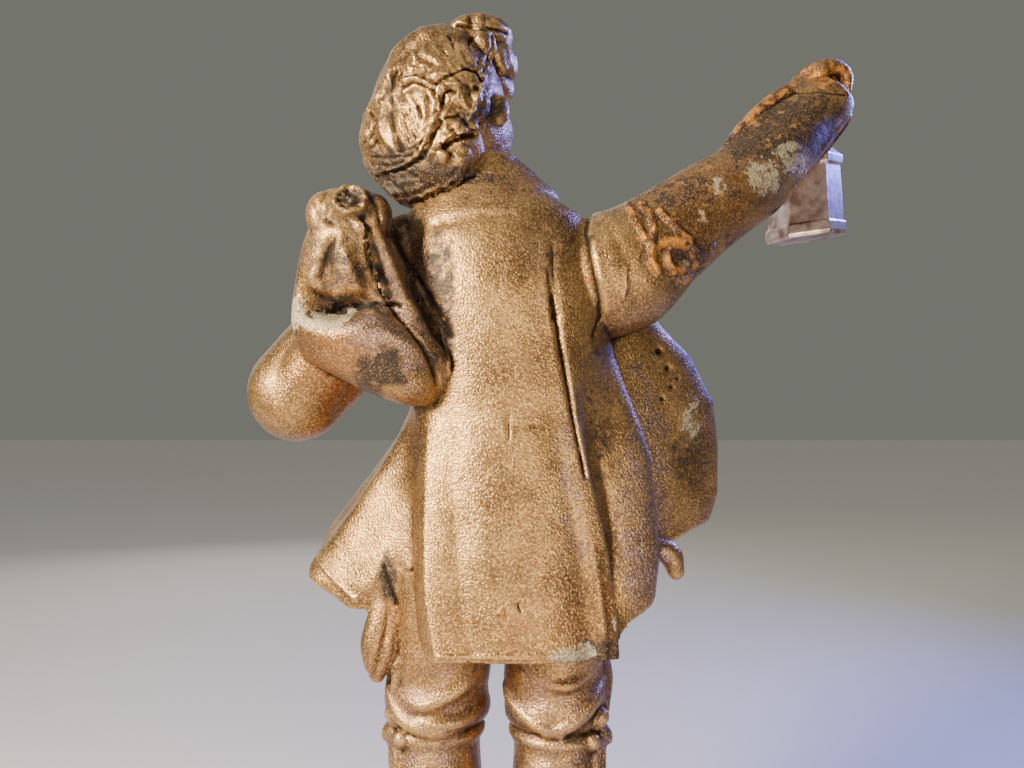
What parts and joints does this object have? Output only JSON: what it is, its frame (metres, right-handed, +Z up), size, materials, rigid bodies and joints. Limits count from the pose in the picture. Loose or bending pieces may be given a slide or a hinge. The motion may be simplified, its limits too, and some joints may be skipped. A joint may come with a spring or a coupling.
{
  "type": "boy with lantern statue",
  "caption": "Small cast figure of a boy in a long open coat, raising a six-sided lantern, on low ground.",
  "frame": {"origin": "centre of the low ground's flat underside", "axes": "+Z up, the boy faces -Y, his left is +X and his raised right arm points to -X"},
  "size_m": [0.1853, 0.0977, 0.2937],
  "materials": {
    "bronzed spelter": "brown-gold bronze paint on sand-grained cast spelter, worn",
    "lantern metal": "smooth brown bronze paint on cast spelter"
  },
  "bodies": {
    "root": {"figure": "bronzed spelter", "lantern": "lantern metal"}
  },
  "joints": []
}
